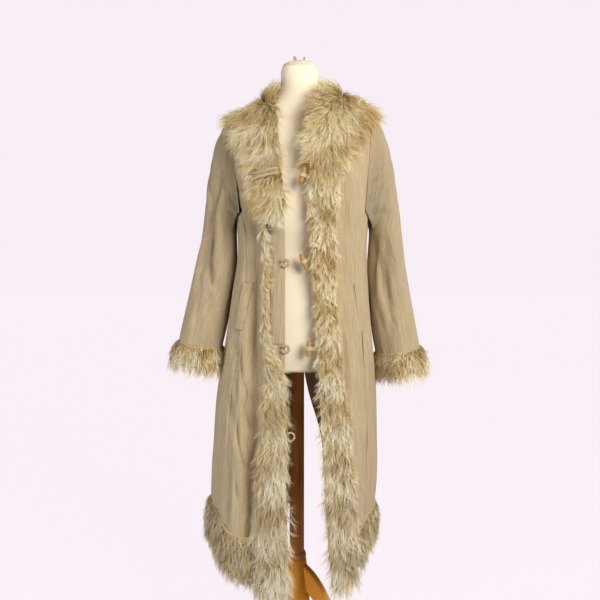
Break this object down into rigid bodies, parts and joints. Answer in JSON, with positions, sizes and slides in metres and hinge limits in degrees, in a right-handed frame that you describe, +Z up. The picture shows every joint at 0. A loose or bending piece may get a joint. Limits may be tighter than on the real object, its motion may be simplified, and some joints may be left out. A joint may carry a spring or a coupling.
{
  "type": "coat on dress form",
  "caption": "Long open-front coat with shaggy fur collar, front edges, hem and cuffs and wooden toggles, worn on a limbless dress form with a wooden pole and footed base.",
  "frame": {"origin": "on the floor under the middle of the overall box", "axes": "+Z up along the pole, +Y towards the back, the coat's front faces -Y and the wearer's left is +X"},
  "size_m": [0.6993, 0.4232, 1.6713],
  "materials": {
    "coat_cloth": "matte twill with slubs",
    "coat_fur": "long shaggy pile",
    "toggle_wood": "satin",
    "form_jersey": "smooth knit",
    "pole_wood": "dark varnish",
    "base_wood": "clear varnish"
  },
  "bodies": {
    "root": {"back_left": "coat_cloth", "back_right": "coat_cloth", "front_left": "coat_cloth", "front_right": "coat_cloth", "side_left": "coat_cloth", "side_right": "coat_cloth", "sleeve_left": "coat_cloth", "sleeve_right": "coat_cloth", "loop_strip": "coat_cloth", "pocket_welt_left": "coat_cloth", "pocket_welt_right": "coat_cloth", "loop_1": "coat_cloth", "loop_2": "coat_cloth", "loop_3": "coat_cloth", "loop_4": "coat_cloth", "toggle_tab_1": "coat_cloth", "toggle_tab_2": "coat_cloth", "toggle_tab_3": "coat_cloth", "toggle_tab_4": "coat_cloth", "collar_left": "coat_fur", "collar_right": "coat_fur", "fur_band_left": "coat_fur", "fur_band_right": "coat_fur", "fur_hem_left": "coat_fur", "fur_hem_right": "coat_fur", "fur_cuff_left": "coat_fur", "fur_cuff_right": "coat_fur", "toggle_1": "toggle_wood", "toggle_2": "toggle_wood", "toggle_3": "toggle_wood", "toggle_4": "toggle_wood", "form_torso": "form_jersey", "form_neck_cap": "form_jersey", "form_tie_1": "form_jersey", "form_tie_2": "form_jersey", "stand_pole": "pole_wood", "stand_ring": "pole_wood", "stand_hub": "base_wood", "stand_leg_1": "base_wood", "stand_leg_2": "base_wood", "stand_leg_3": "base_wood"}
  },
  "joints": []
}
